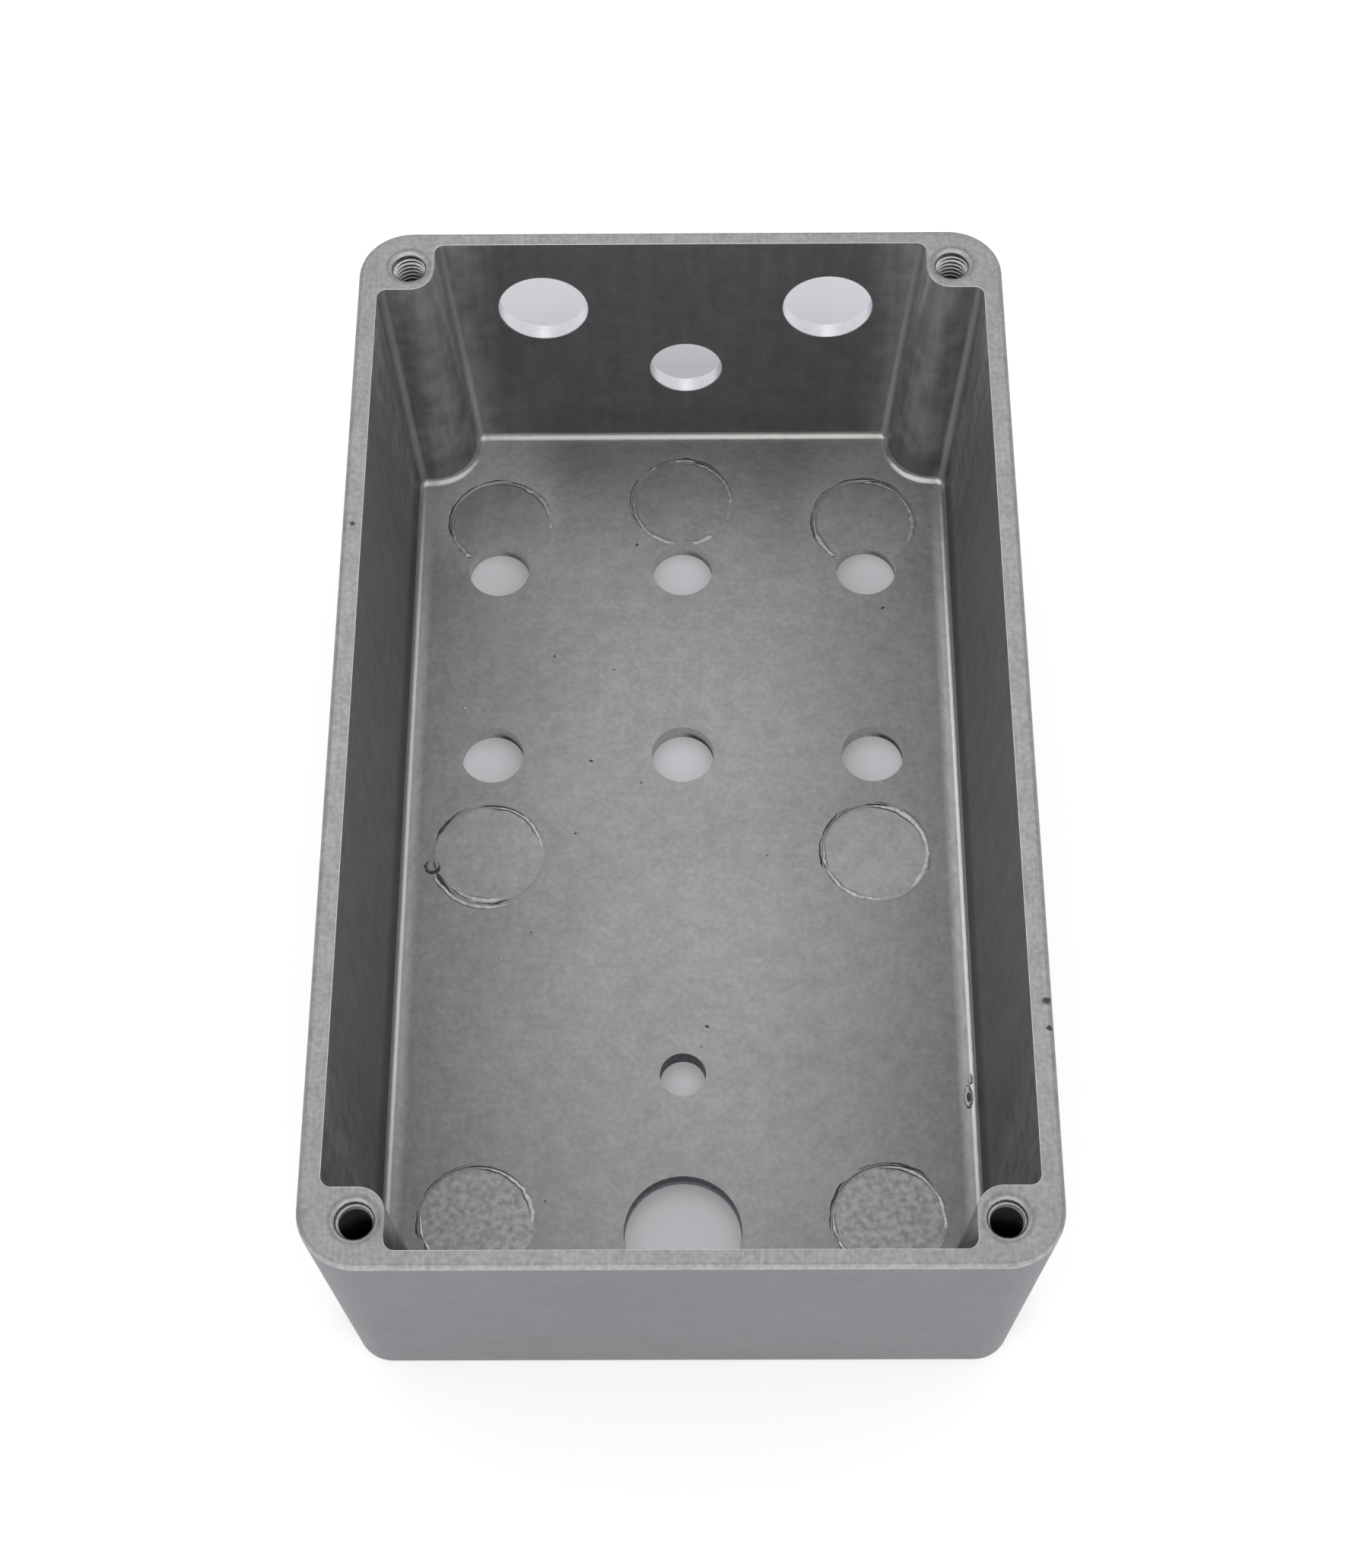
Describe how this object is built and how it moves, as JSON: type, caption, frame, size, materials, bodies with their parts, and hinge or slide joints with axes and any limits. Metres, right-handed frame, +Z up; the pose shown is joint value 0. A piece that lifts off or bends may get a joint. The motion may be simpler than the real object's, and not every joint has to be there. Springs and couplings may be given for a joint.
{
  "type": "effects pedal enclosure body",
  "caption": "Open die-cast box for an effects pedal, with drafted walls, corner screw posts, drilled control holes in the closed face and socket holes in an end wall.",
  "frame": {"origin": "middle of the closed face's outer side, which the box lies on", "axes": "+X across the width, +Y along the length towards the end wall with the socket holes, +Z up out of the open side"},
  "size_m": [0.07, 0.1182, 0.0354],
  "materials": {
    "cast_aluminium": "bare die casting, fine grain, machined rim"
  },
  "bodies": {
    "root": {"enclosure_body": "cast_aluminium"}
  },
  "joints": []
}
